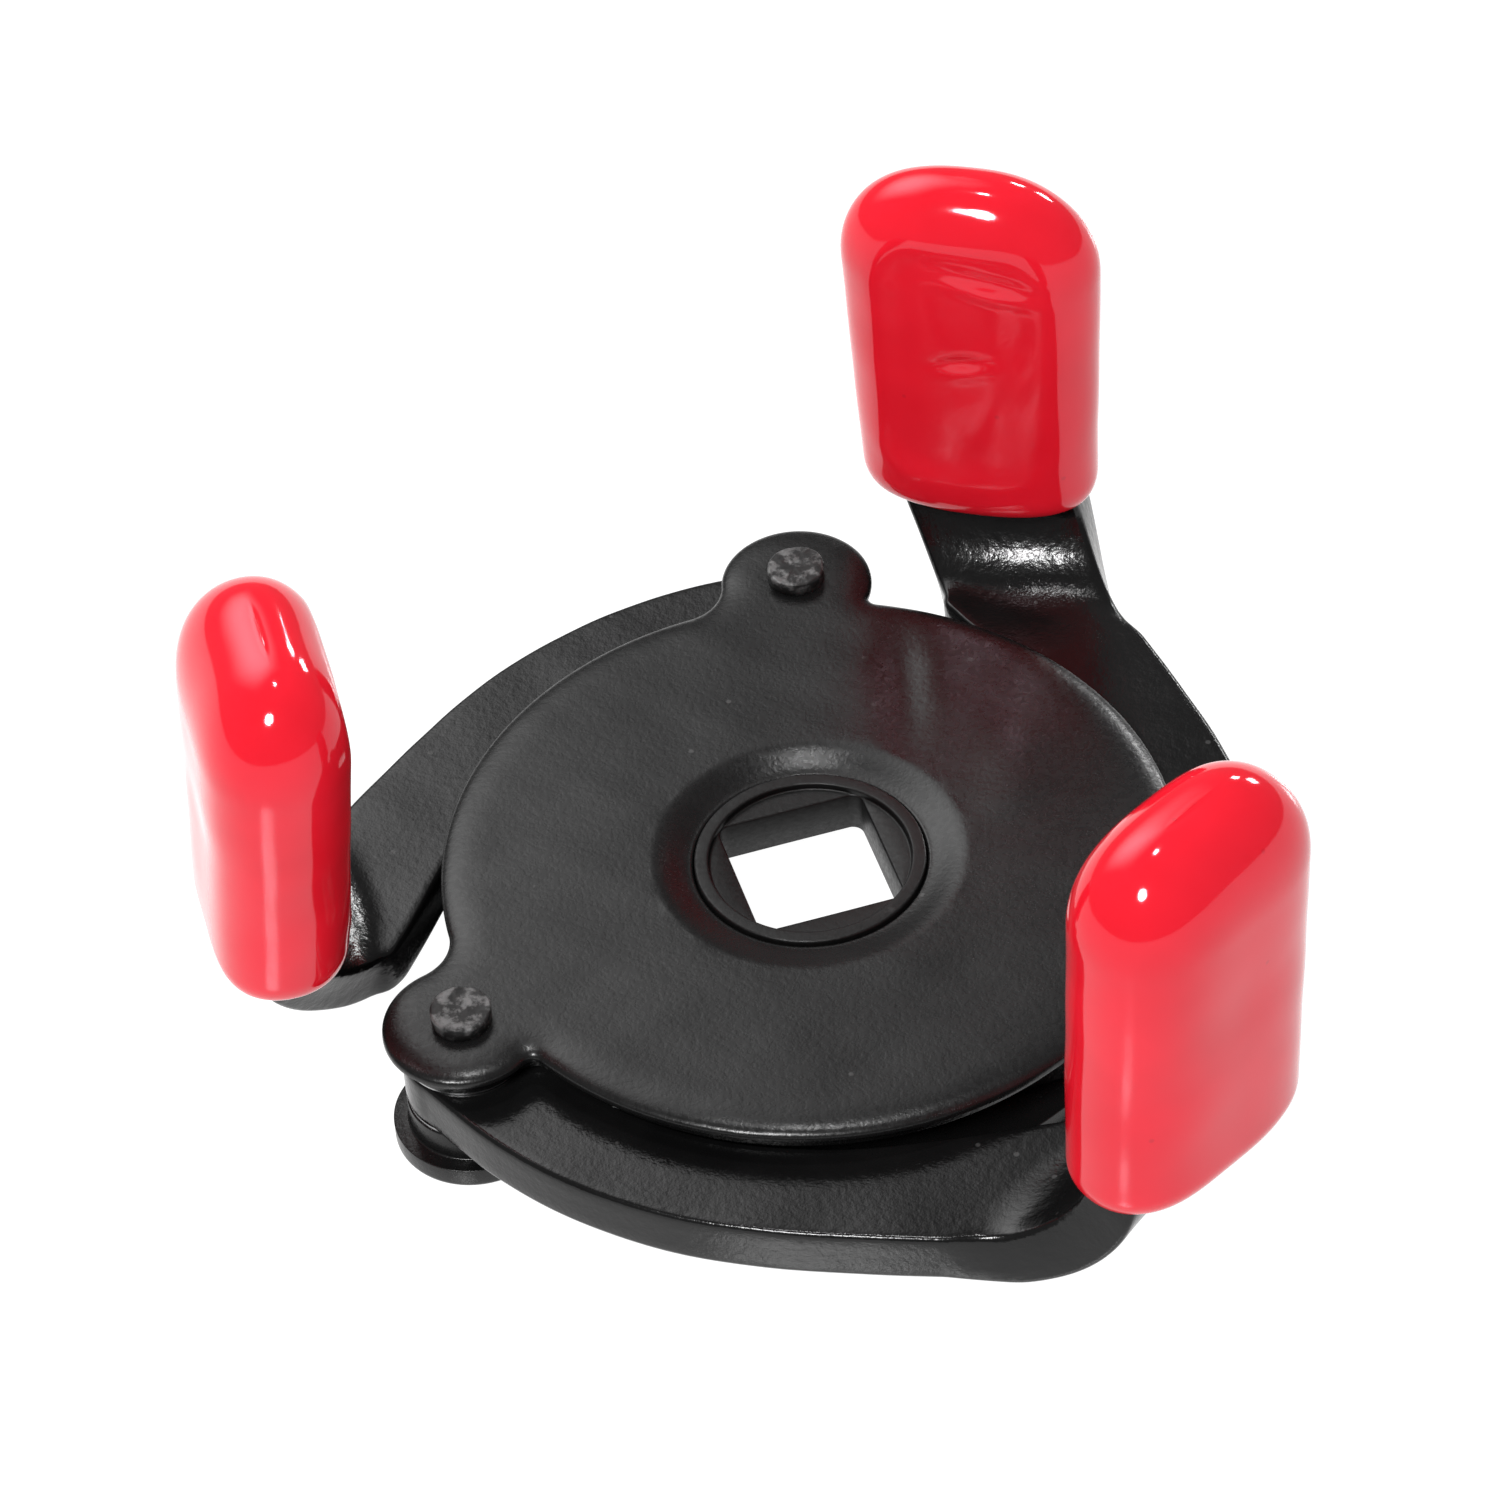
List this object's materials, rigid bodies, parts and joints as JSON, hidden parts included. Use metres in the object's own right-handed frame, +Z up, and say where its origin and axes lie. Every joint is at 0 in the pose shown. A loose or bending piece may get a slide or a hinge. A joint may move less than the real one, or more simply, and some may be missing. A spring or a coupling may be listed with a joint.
{
  "type": "oil filter wrench",
  "caption": "Geared jaw wrench: a square drive turns a gear that swings hooked, vinyl-tipped jaws in to grip a round filter.",
  "frame": {"origin": "on the drive's axis, level with the underside of the bottom plate", "axes": "+Z up along the drive's axis, the way the jaws' tabs point; the first pivot is on +Y"},
  "size_m": [0.0681, 0.0709, 0.0384],
  "materials": {
    "black_paint": "semi-gloss black with fine orange peel",
    "blacked_steel": "black, semi-gloss, worn at the ring",
    "red_vinyl": "thick dipped vinyl, very glossy",
    "rivet_steel": "black paint scuffed on the hammered ends",
    "bright_steel": "oiled bare steel"
  },
  "bodies": {
    "housing": {"top_cover": "black_paint", "bottom_plate": "black_paint", "pivot_rivet_1": "rivet_steel", "pivot_bush_1": "bright_steel", "lower_washer_1": "bright_steel", "upper_washer_1": "bright_steel", "pivot_rivet_2": "rivet_steel", "pivot_bush_2": "bright_steel", "lower_washer_2": "bright_steel", "upper_washer_2": "bright_steel", "pivot_rivet_3": "rivet_steel", "pivot_bush_3": "bright_steel", "lower_washer_3": "bright_steel", "upper_washer_3": "bright_steel"},
    "drive": {"drive_gear": "blacked_steel"},
    "jaw_1": {"jaw_arm_1": "black_paint", "grip_sleeve_1": "red_vinyl"},
    "jaw_2": {"jaw_arm_2": "black_paint", "grip_sleeve_2": "red_vinyl"},
    "jaw_3": {"jaw_arm_3": "black_paint", "grip_sleeve_3": "red_vinyl"}
  },
  "joints": [
    {"name": "jaw_1_swing", "type": "hinge", "parent": "housing", "child": "jaw_1", "pos_m": [0, 0.0254, 0.0057], "axis": [0, 0, -1], "range_deg": [-4, 42]},
    {"name": "jaw_2_swing", "type": "hinge", "parent": "housing", "child": "jaw_2", "pos_m": [-0.022, -0.0127, 0.0057], "axis": [0, 0, -1], "range_deg": [-4, 42]},
    {"name": "jaw_3_swing", "type": "hinge", "parent": "housing", "child": "jaw_3", "pos_m": [0.022, -0.0127, 0.0057], "axis": [0, 0, -1], "range_deg": [-4, 42]},
    {"name": "drive_turn", "type": "hinge", "parent": "housing", "child": "drive", "pos_m": [0, 0, 0.0057], "axis": [0, 0, 1], "range_deg": [-4, 42]}
  ],
  "couplings": [
    {"joint": "jaw_2_swing", "follows": "jaw_1_swing", "ratio": 1},
    {"joint": "jaw_3_swing", "follows": "jaw_1_swing", "ratio": 1},
    {"joint": "drive_turn", "follows": "jaw_1_swing", "ratio": 1}
  ]
}
